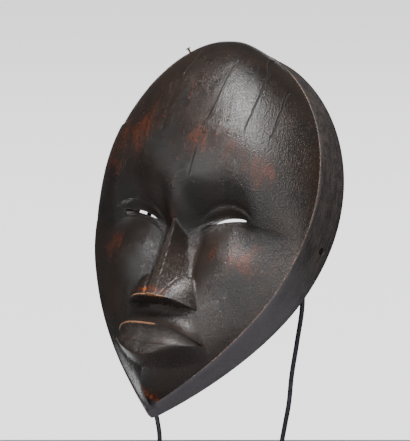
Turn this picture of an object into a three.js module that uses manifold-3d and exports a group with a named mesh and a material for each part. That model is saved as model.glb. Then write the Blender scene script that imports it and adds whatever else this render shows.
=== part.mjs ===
// A carved wooden dan mask on its bent wire stand. Millimetres, +Z up, the face looks along -Y.
// The origin is at the middle of the foot's underside.
import * as THREE from 'three';
import { mergeVertices } from 'three/addons/utils/BufferGeometryUtils.js';
import Module from 'manifold-3d';

const wasm = await Module();
wasm.setup();

// Overall size of the mask
const maskLength = 240;
const maskWidth = 157.6;
const domeDepth = 73.6;

// Walls and openings of the mask
const wallThickness = 12;
const rimWidth = 12;
const bandFlare = 3.9;
const slitHeight = 2;
const eyeWallThinning = 5.5;
const rimHoleDiameter = 4.7;
const rimHoleSetback = 7.5;

// How the mask sits in the stand
const maskLean = 30.6;
const maskCentreHeight = 175;
const maskCentreDepth = 15;
const restingGap = 0.3;
const hoopClearance = 0.8;

// Tack in the upper left rim
const tackHeadDiameter = 3.2;
const tackHeadThickness = 0.9;
const tackShankDiameter = 1.4;
const tackStandOff = 3.2;

// Stand
const wireDiameter = 3;
const wireSides = 8;
const wireSteps = 66;
const wireSetback = 12.6;
const legSpacing = 93;
const legsMiddle = -1.2;
const legSeatDepth = 5;
const footMargin = 13.5;
const footDepth = 110;
const footThickness = 8;
const footCornerRadius = 4;
const footEdgeBevel = 0.8;

// The carving below is drawn on a pattern 240 long, 157.6 wide and 73.6 deep, and takes the mask's own size
const patternLength = 240;
const patternWidth = 157.6;
const patternDepth = 73.6;
const alongScale = maskLength / patternLength;
const acrossScale = maskWidth / patternWidth;
const depthScale = domeDepth / patternDepth;

// Outline of the mask: a chin curve and a crown curve that meet at the widest place
const outline = {
  halfWidth: 78.8, widestAt: 127.8, chinPullAcross: 20.3, chinPullUp: 14.6,
  lowerPull: 63.3, upperPull: 73, crownPull: 23.3,
};
// The mask isn't quite straight: its crown and chin bend to the left of the middle
const sway = { crown: 7.6, crownFrom: 130, crownPower: 1.6, chin: 8.1, chinFrom: 80, chinPower: 1.5, keelShare: 0.3 };
// Height of the sharp front edge of the side band above the back plane
const arris = { chin: 8.4, middle: 25.6, top: 17.9 };
const lowerFace = { chin: 13, rise: 26, riseLength: 9, cheekRise: 1.5, riseFrom: 60, riseTo: 105 };
const forehead = {
  browBase: 40, dome: 73.6, domeAt: 165, crownPower: 2.1, crownFall: 0.43, browPower: 2.5, underBrowSlope: 160,
  creaseSoftness: 1.5, creaseAt: 112, rootDrop: 12, rootWidth: 9, rootFadeFrom: 112, rootFadeTo: 134,
  eyeRise: 6, eyeAcross: 33, eyeSpread: 13,
};
// Shape of the face across: a power of the share of the half width, fuller at the forehead than at the chin
const section = {
  chinPower: 1.25, facePower: 2.15, faceFrom: 12, faceTo: 34,
  domePower: 2.86, domeEase: 0.73, domeFrom: 96, domeTo: 120,
};
const cheek = { across: 40, along: 86, spreadAcross: 18, spreadAlong: 17, swell: 5.5, edgePower: 6 };
const eye = {
  inner: 17.4, innerAt: 109.7, span: 28, outerRise: 5.4, arch: 8.4, lid: 1, crease: 0.8,
  lidInnerAt: 111, lidRise: 4.2, lidArch: 18.8,
  cutSlope: 0.38, surfaceAt: 41, splay: 0.3, cutFrom: 60, cutTo: 20, cutSteps: 10, cutEnd: 0.12,
  beyond: 0.15, fadeIn: [-0.2, 0.1], fadeOut: [1.25, 0.9],
  upperLid: [1.9, 1.4], lowerLid: [-2.1, 1.6], creaseLine: [4.6, 1.3],
};
const nose = {
  ridge: 51, tipRise: 0.9, tipAt: 64, rootAt: 112, facetRoot: 1.1, facetTip: 2.7, base: 39, rootHalf: 5.5,
  spread: 10.5, spreadLength: 34, bow: 50.5, bowFall: 13, bowPower: 2.6, wingAcross: 15, wingSpan: 11,
  wingRise: 17, wingHalf: 24, wingFall: 6, endAt: 128, undersideAt: 57, undersideBase: 38.5, undersideSlope: 7.7,
  tipRiseFrom: 90, lipAbove: 1.5, wingEnd: 30, softness: 0.4,
};
const mouth = {
  half: 30, front: 46.5, cornerFall: 18, topAt: 42, topFall: 3.5, lineAt: 30.3, lineRise: 7.5,
  bottomAt: 22, bottomRise: 14, ramp: 11, scoop: 2.6, underRun: 4,
  cornerPower: 4, topPower: 3, linePower: 5, bottomPower: 1.6, reach: 1.12, rampPower: 2.2, scoopPower: 0.8,
  lineDrop: 1.2, parting: 1.4, partingWidth: 0.12, lowerDrop: 1.8, underPower: 1.6,
};

// Height of the rim holes on the pattern
const rimHoleAt = 113;
// The hollow is cut less deep behind the brow, so that the wall stays whole above the eyes
const hollow = {
  besideNose: 60, browAbove: 5.5, endPower: 6, endEase: 0.65, sidePower: 4.5, sideEase: 0.7, behind: 6,
  eyeAcross: 31, eyeSpread: 15, eyeAt: 116, eyeRise: 8,
};

const clamp = (value, low, high) => Math.min(Math.max(value, low), high);
const smoothStep = (from, to, value) => {
  const t = clamp((value - from) / (to - from), 0, 1);
  return t * t * (3 - 2 * t);
};
const bell = (t) => Math.exp(-t * t);
const blendHigher = (a, b, softness) => 0.5 * (a + b + Math.hypot(a - b, softness));

function readCurve(points, at) {
  // Value across at a height along a polyline of [across, along] points
  let low = 0;
  let high = points.length - 1;
  while (high - low > 1) {
    const middle = (low + high) >> 1;
    if (points[middle].y <= at) low = middle;
    else high = middle;
  }
  const a = points[low];
  const b = points[high];
  const share = b.y > a.y ? clamp((at - a.y) / (b.y - a.y), 0, 1) : 0;
  return a.x + (b.x - a.x) * share;
}

const outlineSteps = 160;
const o = outline;
const chinCurve = new THREE.CubicBezierCurve(
  new THREE.Vector2(0, 0),
  new THREE.Vector2(o.chinPullAcross, o.chinPullUp),
  new THREE.Vector2(o.halfWidth, o.widestAt - o.lowerPull),
  new THREE.Vector2(o.halfWidth, o.widestAt),
);
const crownCurve = new THREE.CubicBezierCurve(
  new THREE.Vector2(o.halfWidth, o.widestAt),
  new THREE.Vector2(o.halfWidth, o.widestAt + o.upperPull),
  new THREE.Vector2(o.crownPull, patternLength),
  new THREE.Vector2(0, patternLength),
);
const outlinePoints = [...chinCurve.getPoints(outlineSteps), ...crownCurve.getPoints(outlineSteps).slice(1)];
const halfWidth = (z) => readCurve(outlinePoints, z);

function arrisHeight(z) {
  const t = z / patternLength;
  const chinPart = arris.chin * (1 - t) * (1 - 2 * t);
  return chinPart + arris.middle * 4 * t * (1 - t) + arris.top * t * (2 * t - 1);
}

// Sideways bend of the outline, and of the highest line of the face, at a height along the mask
function endBend(z) {
  const crown = sway.crown * clamp((z - sway.crownFrom) / (patternLength - sway.crownFrom), 0, 1) ** sway.crownPower;
  const chin = sway.chin * clamp((sway.chinFrom - z) / sway.chinFrom, 0, 1) ** sway.chinPower;
  return { edge: -crown - chin, crest: -crown - chin * sway.keelShare };
}

// Place across the face for a share of the way from its highest line to its left or right edge
function acrossAt(share, z) {
  const { edge, crest } = endBend(z);
  const side = edge + Math.sign(share) * halfWidth(z);
  return crest + Math.abs(share) * (side - crest);
}

function shareAt(x, z) {
  const { edge, crest } = endBend(z);
  const side = edge + (x < crest ? -1 : 1) * halfWidth(z);
  const span = side - crest;
  return Math.abs(span) < 0.001 ? 0 : clamp((x - crest) / span, 0, 1);
}

function browCrease(across, z) {
  const f = forehead;
  const root = f.rootDrop * bell(across / f.rootWidth) * smoothStep(f.rootFadeTo, f.rootFadeFrom, z);
  return f.creaseAt - root + f.eyeRise * bell((across - f.eyeAcross) / f.eyeSpread);
}

function centreHeight(z, across) {
  // Height of the middle of the face, without nose and lips, as it is carried out to the sides
  const f = forehead;
  if (z > f.domeAt) {
    const fall = clamp((z - f.domeAt) / (patternLength - f.domeAt), 0, 1);
    return arris.top + (f.dome - arris.top) * (1 - fall ** f.crownPower) ** f.crownFall;
  }
  const chin = lowerFace.chin + lowerFace.rise * (1 - Math.exp(-z / lowerFace.riseLength));
  const lower = chin + lowerFace.cheekRise * smoothStep(lowerFace.riseFrom, lowerFace.riseTo, z);
  const crease = browCrease(across, z);
  const t = (z - crease) / (f.domeAt - crease);
  const rise = (f.dome - f.browBase) * (1 - Math.max(0, 1 - t) ** f.browPower);
  const brow = f.browBase + (t < 0 ? t * f.underBrowSlope : rise);
  return blendHigher(lower, brow, f.creaseSoftness);
}

function faceBase(x, z) {
  const s = shareAt(x, z);
  const across = Math.abs(x);
  const k = section;
  const atDome = smoothStep(k.domeFrom, k.domeTo, z);
  const atFace = k.chinPower + (k.facePower - k.chinPower) * smoothStep(k.faceFrom, k.faceTo, z);
  const power = atFace + (k.domePower - k.facePower) * atDome;
  const ease = 1 + (k.domeEase - 1) * atDome;
  const edge = arrisHeight(z);
  const body = edge + (centreHeight(z, across) - edge) * (1 - s ** power) ** ease;
  const c = cheek;
  const swell = c.swell * bell((across - c.across) / c.spreadAcross) * bell((z - c.along) / c.spreadAlong);
  return body + swell * (1 - s ** c.edgePower);
}

// Heights along the mask of the slit, and of the upper lid that arches over it
function eyeArc(across, start, rise, arch) {
  const q = clamp((across - eye.inner) / eye.span, -eye.beyond, 1 + eye.beyond);
  return start + rise * q + arch * q * (1 - q);
}
const slitLine = (across) => eyeArc(across, eye.innerAt, eye.outerRise, eye.arch);
const lidLine = (across) => eyeArc(across, eye.lidInnerAt, eye.lidRise, eye.lidArch);

function eyeLids(across, z) {
  const q = (across - eye.inner) / eye.span;
  const within = smoothStep(...eye.fadeIn, q) * smoothStep(...eye.fadeOut, q);
  const aboveSlit = z - slitLine(across);
  const aboveLid = z - lidLine(across);
  const welt = (above, [at, width]) => bell((above - at) / width);
  const lids = welt(aboveLid, eye.upperLid) + welt(aboveSlit, eye.lowerLid);
  return within * (eye.lid * lids - eye.crease * welt(aboveLid, eye.creaseLine));
}

function noseHeight(across, z) {
  const n = nose;
  if (z < n.undersideAt || z > n.endAt) return 0;
  const ridge = n.ridge + n.tipRise * smoothStep(n.tipRiseFrom, n.tipAt, z);
  const facet = n.facetRoot + (n.facetTip - n.facetRoot) * smoothStep(n.rootAt, n.tipAt, z);
  const half = n.rootHalf + n.spread * Math.max(0, n.rootAt - z) / n.spreadLength;
  const side = ridge - Math.max(0, across - facet) * (ridge - n.base) / (half - facet);
  const offWing = clamp(1 - ((across - n.wingAcross) / n.wingSpan) ** 2, 0, 1);
  const upWing = Math.max(0, z - n.undersideAt - n.lipAbove);
  const u = upWing / Math.max(n.wingRise * Math.sqrt(offWing), 0.5);
  const bow = n.bow - n.bowFall * (across / n.wingHalf) ** n.bowPower;
  const wing = bow - n.wingFall * u * u - n.wingEnd * Math.max(0, u - 1);
  const form = blendHigher(side, across < n.wingAcross ? Math.min(wing, ridge) : wing, n.softness);
  return Math.min(form, n.undersideBase + (z - n.undersideAt) * n.undersideSlope);
}

function lipHeight(across, z, base) {
  const m = mouth;
  const t = across / m.half;
  if (t > m.reach) return base;
  const front = m.front - m.cornerFall * t ** m.cornerPower;
  const top = m.topAt - m.topFall * t ** m.topPower;
  const line = m.lineAt + m.lineRise * t ** m.linePower;
  const bottom = m.bottomAt + m.bottomRise * t ** m.bottomPower;
  if (front <= base) return base;
  if (z >= top) return base + (front - base) * clamp(1 - (z - top) / m.ramp, 0, 1) ** m.rampPower;
  if (z >= line) {
    const v = clamp((z - line) / (top - line), 0, 1);
    return front - m.scoop * Math.sin(Math.PI * v) ** m.scoopPower - m.lineDrop * (1 - v);
  }
  if (z >= bottom) {
    const v = (z - bottom) / Math.max(line - bottom, 0.001);
    return front - m.parting * bell((1 - v) / m.partingWidth) - m.lowerDrop * (1 - v) ** 2;
  }
  const under = clamp(1 - (bottom - z) / m.underRun, 0, 1) ** m.underPower;
  return base + Math.max(0, front - m.lowerDrop - base) * under;
}

function faceHeight(x, z) {
  const across = Math.abs(x);
  const base = faceBase(x, z) + eyeLids(across, z);
  const withNose = Math.max(base, noseHeight(across, z));
  return Math.max(withNose, lipHeight(across, z, base));
}

// Rows of the carving, close together where lips, nose and eyes are
function ramp(from, to, count, ease = (t) => t) {
  return Array.from({ length: count }, (_, i) => from + (to - from) * ease(i / count));
}
const faceRows = [
  ...ramp(0, 18, 6, (t) => t ** 1.3),
  ...ramp(18, 46, 15),
  ...ramp(46, 56.5, 3),
  ...ramp(56.5, 59.5, 3),
  ...ramp(59.5, 78, 7),
  ...ramp(78, 104, 6),
  ...ramp(104, 125, 9),
  ...ramp(125, patternLength, 14, (t) => Math.sin(t * Math.PI / 2)),
  patternLength,
];
const faceColumns = 18;
const columnEase = 1.25;
const bandSteps = 2;
const hollowRows = 20;
const hollowColumns = 9;

class ShellBuilder {
  constructor() {
    this.points = [];
    this.faces = [];
  }

  point(x, y, z) {
    this.points.push(x, y, z);
    return this.points.length / 3 - 1;
  }

  // Rows of points side by side; a row that is one point is a pole
  skin(rows) {
    for (let j = 0; j + 1 < rows.length; j += 1) {
      const low = rows[j];
      const high = rows[j + 1];
      const count = Math.max(low.length, high.length);
      for (let i = 0; i + 1 < count; i += 1) {
        const a = low.length === 1 ? low[0] : low[i];
        const b = low.length === 1 ? low[0] : low[i + 1];
        const c = high.length === 1 ? high[0] : high[i + 1];
        const d = high.length === 1 ? high[0] : high[i];
        if (a !== b) this.faces.push(a, b, c);
        if (c !== d) this.faces.push(a, c, d);
      }
    }
  }

  geometry() {
    const geometry = new THREE.BufferGeometry();
    geometry.setAttribute('position', new THREE.Float32BufferAttribute(this.points, 3));
    geometry.setIndex(this.faces);
    return geometry;
  }
}

function signedVolume(positions, indices) {
  let volume = 0;
  for (let i = 0; i < indices.length; i += 3) {
    const [a, b, c] = [indices[i] * 3, indices[i + 1] * 3, indices[i + 2] * 3];
    volume += positions[a] * (positions[b + 1] * positions[c + 2] - positions[b + 2] * positions[c + 1])
      - positions[a + 1] * (positions[b] * positions[c + 2] - positions[b + 2] * positions[c])
      + positions[a + 2] * (positions[b] * positions[c + 1] - positions[b + 1] * positions[c]);
  }
  return volume / 6;
}

function toSolid(source) {
  const bare = source.clone();
  bare.deleteAttribute('normal');
  bare.deleteAttribute('uv');
  const merged = mergeVertices(bare, 1e-4);
  const vertProperties = new Float32Array(merged.attributes.position.array);
  const triVerts = new Uint32Array(merged.index.array);
  if (signedVolume(vertProperties, triVerts) < 0) {
    for (let i = 0; i < triVerts.length; i += 3) {
      [triVerts[i], triVerts[i + 1]] = [triVerts[i + 1], triVerts[i]];
    }
  }
  return new wasm.Manifold(new wasm.Mesh({ numProp: 3, vertProperties, triVerts }));
}

function toGeometry(solid) {
  const mesh = solid.getMesh();
  const geometry = new THREE.BufferGeometry();
  geometry.setAttribute('position', new THREE.BufferAttribute(mesh.vertProperties, 3));
  geometry.setIndex(new THREE.BufferAttribute(mesh.triVerts, 1));
  geometry.computeVertexNormals();
  return geometry;
}

function place(x, height, z) {
  return [x * acrossScale, -height * depthScale, z * alongScale];
}

// Outward direction of the outline at each row, for the flare of the side band
function outlineNormal(z) {
  const reach = 1.5;
  const lower = clamp(z - reach, 0, patternLength);
  const upper = clamp(z + reach, 0, patternLength);
  const slope = (halfWidth(upper) - halfWidth(lower)) / (upper - lower);
  return new THREE.Vector2(1, -slope).normalize();
}

// The mask before it is hollowed: carved face, flared side band and flat back
function maskBlock() {
  const shell = new ShellBuilder();
  const rows = faceRows.map((z) => {
    const half = halfWidth(z);
    if (half < 0.01) return [shell.point(...place(endBend(z).edge, arrisHeight(z), z))];
    const row = [];
    for (let i = -faceColumns; i <= faceColumns; i += 1) {
      const x = acrossAt(Math.sign(i) * (Math.abs(i) / faceColumns) ** columnEase, z);
      const atEdge = Math.abs(i) === faceColumns;
      row.push(shell.point(...place(x, atEdge ? arrisHeight(z) : faceHeight(x, z), z)));
    }
    return row;
  });
  shell.skin(rows);
  const last = rows.length - 1;
  const bandRow = (step) => faceRows.map((z, j) => {
    const share = step / bandSteps;
    const height = arrisHeight(z) * (1 - share);
    const flare = bandFlare * share;
    const bend = endBend(z).edge;
    if (j === 0) return [shell.point(...place(bend, height, z - flare))];
    if (j === last) return [shell.point(...place(bend, height, z + flare))];
    const normal = outlineNormal(z);
    const x = halfWidth(z) + flare * normal.x;
    const along = z + flare * normal.y;
    return [bend + x, bend - x].map((at) => shell.point(...place(at, height, along)));
  });
  let front = rows.map((row) => (row.length === 1 ? row : [row[row.length - 1], row[0]]));
  for (let step = 1; step <= bandSteps; step += 1) {
    const back = bandRow(step);
    for (const side of [0, 1]) {
      const edge = (list) => list.map((row) => (row.length === 1 ? row[0] : row[side]));
      const strips = side === 0 ? [edge(back), edge(front)] : [edge(front), edge(back)];
      shell.skin(strips);
    }
    front = back;
  }
  shell.skin(front.map((row) => (row.length === 1 ? row : [row[0], row[1]])));
  return toSolid(shell.geometry());
}

// Inner edge of the flat back rim: the outline moved in by the rim's width
const rimEdge = outlinePoints
  .map((p) => {
    const normal = outlineNormal(p.y);
    const across = p.x - rimWidth / acrossScale * normal.x;
    return new THREE.Vector2(across, p.y - rimWidth / alongScale * normal.y);
  })
  .filter((p, i, all) => p.x > 0 && (i === 0 || p.y > all[i - 1].y));
const hollowFrom = rimEdge[0].y - 1;
const hollowTo = patternLength - rimWidth / alongScale;
const hollowHalfWidth = (z) => (z <= hollowFrom || z >= hollowTo ? 0 : readCurve(rimEdge, z));

function hollowHeight(x, z) {
  const half = hollowHalfWidth(z);
  const s = clamp(Math.abs(x - endBend(z).edge) / Math.max(half, 0.001), 0, 1);
  const end = clamp(Math.abs(2 * (z - hollowFrom) / (hollowTo - hollowFrom) - 1), 0, 1);
  const { besideNose, browAbove, endPower, endEase, sidePower, sideEase } = hollow;
  const middle = Math.min(centreHeight(z, besideNose), centreHeight(z - browAbove, besideNose));
  const depth = (middle - wallThickness / depthScale) * (1 - end ** endPower) ** endEase;
  const offEye = (Math.abs(x) - hollow.eyeAcross) / hollow.eyeSpread;
  const eyeHollow = eyeWallThinning / depthScale * bell(offEye) * bell((z - hollow.eyeAt) / hollow.eyeRise);
  return depth * (1 - s ** sidePower) ** sideEase + eyeHollow;
}

function hollowTool() {
  const shell = new ShellBuilder();
  const columns = hollowColumns;
  const zs = Array.from({ length: hollowRows + 1 }, (_, j) => {
    const t = 0.5 - 0.5 * Math.cos(Math.PI * j / hollowRows);
    return hollowFrom + (hollowTo - hollowFrom) * t;
  });
  const rows = zs.map((z) => {
    const half = hollowHalfWidth(z);
    const bend = endBend(z).edge;
    if (half < 0.01) return [shell.point(...place(bend, 0, z))];
    const row = [];
    for (let i = -columns; i <= columns; i += 1) {
      const x = bend + half * Math.sin(i / columns * Math.PI / 2);
      row.push(shell.point(...place(x, Math.abs(i) === columns ? 0 : hollowHeight(x, z), z)));
    }
    return row;
  });
  shell.skin(rows);
  const rear = zs.map((z, j) => {
    const half = hollowHalfWidth(z);
    const bend = endBend(z).edge;
    if (rows[j].length === 1) return [shell.point(...place(bend, -hollow.behind, z))];
    return [bend + half, bend - half].map((x) => shell.point(...place(x, -hollow.behind, z)));
  });
  for (const side of [0, 1]) {
    const pick = (row) => {
      if (row.length === 1) return row[0];
      return side === 0 ? row[row.length - 1] : row[0];
    };
    const pickRear = (row) => (row.length === 1 ? row[0] : row[side]);
    const edge = rows.map(pick);
    const back = rear.map(pickRear);
    shell.skin(side === 0 ? [back, edge] : [edge, back]);
  }
  shell.skin(rear);
  return toSolid(shell.geometry());
}

// A lens-shaped cutter that pierces one eye, sloping up into the hollow as a carver's blade would
function slitTool(side) {
  const shell = new ShellBuilder();
  const cut = (height) => {
    const lift = (eye.surfaceAt - height) * eye.cutSlope;
    const innerEnd = eye.inner + (height - eye.surfaceAt) * eye.splay;
    const edge = (direction) => Array.from({ length: eye.cutSteps + 1 }, (_, i) => {
      const q = i / eye.cutSteps;
      const x = innerEnd + (eye.inner + eye.span - innerEnd) * q;
      const opening = eye.cutEnd + (1 - eye.cutEnd) * Math.sqrt(1 - (2 * q - 1) ** 2);
      const half = slitHeight / alongScale / 2 * opening;
      return shell.point(...place(side * x, height, slitLine(x) + direction * half + lift));
    });
    return [edge(1), edge(-1)];
  };
  const ring = ([upper, lower]) => [...upper, ...[...lower].reverse(), upper[0]];
  const outer = cut(eye.cutFrom);
  const inner = cut(eye.cutTo);
  shell.skin([ring(outer), ring(inner)]);
  shell.skin([outer[1], outer[0]]);
  shell.skin([inner[0], inner[1]]);
  return toSolid(shell.geometry());
}

function rimHoleTool(side) {
  const proud = 8;
  const length = 2 * rimWidth + 10;
  const hole = new THREE.CylinderGeometry(rimHoleDiameter / 2, rimHoleDiameter / 2, length, 12);
  hole.rotateZ(Math.PI / 2);
  const x = side * (halfWidth(rimHoleAt) * acrossScale + proud - length / 2);
  hole.translate(x, -rimHoleSetback, rimHoleAt * alongScale);
  return toSolid(hole);
}

function carvedMask() {
  let mask = maskBlock().subtract(hollowTool());
  for (const side of [-1, 1]) {
    mask = mask.subtract(slitTool(side)).subtract(rimHoleTool(side));
  }
  return toGeometry(mask);
}

const leaning = new THREE.Group();
leaning.position.set(0, 0, maskCentreHeight);
leaning.rotation.x = -THREE.MathUtils.degToRad(maskLean);
leaning.updateMatrixWorld(true);
const maskPlace = new THREE.Vector3(0, maskCentreDepth, -maskLength / 2);

const onStand = (x, height, z) => new THREE.Vector3(...place(x, height, z))
  .add(maskPlace)
  .applyMatrix4(leaning.matrixWorld);

// Height above the floor where the upright plane of the rod meets the ceiling of the hollow
const ceilingSearch = { from: 150, halvings: 40 };
function hollowCeiling(x, setback) {
  let low = ceilingSearch.from;
  let high = hollowTo;
  for (let i = 0; i < ceilingSearch.halvings; i += 1) {
    const z = (low + high) / 2;
    if (onStand(x, hollowHeight(x, z), z).y < setback) low = z;
    else high = z;
  }
  return onStand(x, hollowHeight(x, low), low).z;
}

// The bent rod. Its hoop bears on the ceiling of the hollow at the first places across; below them come its
// sides and legs, as [across, height above the mask's centre]. It is bent by hand, so its legs differ.
const bearingPlaces = [0, 11, 22, 32];
const hoopSides = [[45, 36], [52, 15], [57, -8], [60, -28], [61, -45], [57.3, -69]];
const legBends = {
  left: [[54.6, -91], [52.8, -109], [50.7, -126]],
  right: [[53.4, -91], [51.4, -109], [48.6, -123]],
};
const legRun = 26;

function wireGeometry() {
  const radius = wireDiameter / 2;
  const upright = (x, z) => new THREE.Vector3(x, wireSetback, z);
  const bearing = (x) => {
    const z = hollowCeiling(x, wireSetback);
    const fallAcross = (hollowCeiling(x + 1, wireSetback) - z) / acrossScale;
    const fallBack = hollowCeiling(x, wireSetback + 1) - z;
    return upright(x * acrossScale, z - (radius + hoopClearance) * Math.hypot(1, fallAcross, fallBack));
  };
  const half = (side) => [
    ...bearingPlaces.slice(1).map((x) => bearing(side * x)),
    ...[...hoopSides, ...(side < 0 ? legBends.left : legBends.right)]
      .map(([x, z]) => upright(side * x * acrossScale, maskCentreHeight + z * alongScale)),
    ...[footThickness + legRun, footThickness, footThickness - legSeatDepth + restingGap]
      .map((z) => upright(legsMiddle + side * legSpacing / 2, z)),
  ];
  const points = [...half(-1).reverse(), bearing(bearingPlaces[0]), ...half(1)];
  const route = new THREE.CatmullRomCurve3(points, false, 'centripetal');
  const section = new THREE.Shape(
    Array.from({ length: wireSides }, (_, i) => {
      const angle = i / wireSides * Math.PI * 2;
      return new THREE.Vector2(Math.cos(angle), Math.sin(angle)).multiplyScalar(radius);
    }),
  );
  return new THREE.ExtrudeGeometry(section, { steps: wireSteps, extrudePath: route });
}

function footGeometry() {
  const x = legSpacing / 2 + footMargin - footEdgeBevel;
  const y = footDepth / 2 - footEdgeBevel;
  const r = footCornerRadius;
  const plate = new THREE.Shape();
  plate.moveTo(x - r, -y);
  plate.absarc(x - r, -y + r, r, -Math.PI / 2, 0, false);
  plate.absarc(x - r, y - r, r, 0, Math.PI / 2, false);
  plate.absarc(-x + r, y - r, r, Math.PI / 2, Math.PI, false);
  plate.absarc(-x + r, -y + r, r, Math.PI, Math.PI * 1.5, false);
  const slab = new THREE.ExtrudeGeometry(plate, {
    depth: footThickness - 2 * footEdgeBevel,
    bevelEnabled: true,
    bevelSize: footEdgeBevel,
    bevelThickness: footEdgeBevel,
    bevelSegments: 2,
    curveSegments: 5,
  });
  slab.translate(0, 0, footEdgeBevel);
  let foot = toSolid(slab);
  const radius = wireDiameter / 2 + restingGap;
  for (const side of [-1, 1]) {
    const hole = new THREE.CylinderGeometry(radius, radius, legSeatDepth * 2, 16);
    hole.rotateX(Math.PI / 2);
    hole.translate(legsMiddle + side * legSpacing / 2, wireSetback, footThickness);
    foot = foot.subtract(toSolid(hole));
  }
  return toGeometry(foot);
}

function tackGeometry() {
  const head = tackHeadDiameter / 2;
  const shank = tackShankDiameter / 2;
  const profile = [
    new THREE.Vector2(0, restingGap),
    new THREE.Vector2(shank, restingGap),
    new THREE.Vector2(shank, tackStandOff - tackHeadThickness),
    new THREE.Vector2(head, tackStandOff - tackHeadThickness * 0.7),
    new THREE.Vector2(head * 0.8, tackStandOff - tackHeadThickness * 0.2),
    new THREE.Vector2(0, tackStandOff),
  ];
  return new THREE.LatheGeometry(profile, 12);
}

const darkWood = new THREE.MeshStandardMaterial({ color: 0x1d1613, roughness: 0.42, metalness: 0 });
const iron = new THREE.MeshStandardMaterial({ color: 0x4a4a44, roughness: 0.6, metalness: 0.7 });
const darkSteel = new THREE.MeshStandardMaterial({ color: 0x23202a, roughness: 0.45, metalness: 0.6 });

function piece(name, geometry, material) {
  const mesh = new THREE.Mesh(geometry, material);
  mesh.name = name;
  return mesh;
}

const mask = piece('mask', carvedMask(), darkWood);
mask.position.copy(maskPlace);
leaning.add(mask);

// The tack stands square to the surface, below the crown and part of the way to the left edge
const tackAt = { share: -0.535, belowCrown: 20 };
const tackAlong = patternLength - tackAt.belowCrown;
const tackAcross = acrossAt(tackAt.share, tackAlong);
const tackHeight = faceHeight(tackAcross, tackAlong);
const reach = 1;
const slopeAcross = (faceHeight(tackAcross + reach, tackAlong) - tackHeight) / reach * depthScale / acrossScale;
const slopeAlong = (faceHeight(tackAcross, tackAlong + reach) - tackHeight) / reach * depthScale / alongScale;
const tackDirection = new THREE.Vector3(-slopeAcross, -1, -slopeAlong).normalize();
const tack = piece('rim_tack', tackGeometry(), iron);
tack.position.set(...place(tackAcross, tackHeight, tackAlong)).add(maskPlace);
tack.quaternion.setFromUnitVectors(new THREE.Vector3(0, 1, 0), tackDirection);
leaning.add(tack);

const object = new THREE.Group();
object.add(leaning);
object.add(piece('stand_wire', wireGeometry(), darkSteel));
object.add(piece('stand_foot', footGeometry(), darkSteel));
object.updateMatrixWorld(true);

export default object;
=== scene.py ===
"""A carved dan mask held in a bent wire stand, with its fine carving, finish, lights and camera."""
import math
from types import SimpleNamespace as Values

import bmesh
import bpy
import numpy as np
from bpy.props import FloatProperty, FloatVectorProperty, IntProperty, PointerProperty
from mathutils import Color, Matrix, Vector


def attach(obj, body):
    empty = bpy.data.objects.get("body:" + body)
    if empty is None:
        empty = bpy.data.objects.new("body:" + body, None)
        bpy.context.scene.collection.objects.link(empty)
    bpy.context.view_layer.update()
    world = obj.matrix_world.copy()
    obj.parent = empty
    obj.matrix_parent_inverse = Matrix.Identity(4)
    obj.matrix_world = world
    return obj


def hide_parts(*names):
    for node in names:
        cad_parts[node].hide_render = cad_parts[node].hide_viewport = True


bl_info = {
    "name": "Carved Dan Mask",
    "version": (1, 0, 0),
    "blender": (4, 5, 0),
    "location": "3D View > Sidebar > Mask",
    "description": "Builds a carved dan mask on its wire stand, with its finish, lights and camera",
    "category": "Add Mesh",
}

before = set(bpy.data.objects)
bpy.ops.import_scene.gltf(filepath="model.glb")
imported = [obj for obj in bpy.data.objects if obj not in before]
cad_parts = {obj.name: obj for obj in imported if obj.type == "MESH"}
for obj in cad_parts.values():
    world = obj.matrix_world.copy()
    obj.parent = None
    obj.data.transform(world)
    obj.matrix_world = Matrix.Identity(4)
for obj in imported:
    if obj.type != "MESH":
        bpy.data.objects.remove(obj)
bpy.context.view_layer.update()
MM = 0.001

# How the mask sits in the stand, in millimetres and degrees
MASK_LEAN = 30.6
MASK_CENTRE_HEIGHT = 175.0
MASK_CENTRE_DEPTH = 15.0
MASK_LENGTH = 240.0

# The bent rod: where its hoop bears on the hollow's ceiling, then its sides and legs as across and height
ROD = Values(
    radius=1.5, clearance=0.8, setback=12.6, sides=24, steps=10, bearings=(0, 11, 22, 32),
    hoop=((45, 36), (52, 15), (57, -8), (60, -28), (61, -45), (57.3, -69)),
    left_leg=((54.6, -91), (52.8, -109), (50.7, -126)),
    right_leg=((53.4, -91), (51.4, -109), (48.6, -123)),
    legs_middle=-1.2, leg_spacing=93, leg_heights=(34, 8, 3.3),
)

# Outline and carving of the mask; its brow, nose base and groove are finer than the solid's
OUTLINE = Values(
    half_width=78.8, widest_at=127.8, chin_across=20.3, chin_up=14.6,
    lower_pull=63.3, upper_pull=73, crown_pull=23.3,
)
SWAY = Values(
    crown=7.6, crown_from=130, crown_power=1.6, chin=8.1, chin_from=80, chin_power=1.5, keel_share=0.3,
)
ARRIS = Values(chin=8.4, middle=25.6, top=17.9)
LOWER_FACE = Values(chin=13, rise=26, rise_length=9, cheek_rise=1.5, cheek_from=60, cheek_to=105)
FOREHEAD = Values(
    brow_base=40, dome=73.6, dome_at=165, crown_power=2.1,
    crown_fall=0.43, brow_power=2.5, crease_at=112, root_drop=12, root_width=9,
    fade_from=112, fade_to=134, eye_rise=6, eye_across=33, eye_spread=13,
    bulge=4.6, bulge_at=128, bulge_length=11.5, bulge_across=34, softness=5,
    temple_softness=12, temple_from=38, temple_to=56, crease_slope=160,
)
SECTION = Values(
    chin_power=1.25, face_power=2.15, face_from=12, face_to=34,
    dome_power=2.86, dome_ease=0.73, dome_from=96, dome_to=120,
)
CHEEK = Values(
    across=40, along=86, spread_across=18, spread_along=17, swell=5.5,
    groove=3.2, groove_across=13.5, groove_width=7, groove_top=(112, 96), groove_foot=(52, 66),
)
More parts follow.
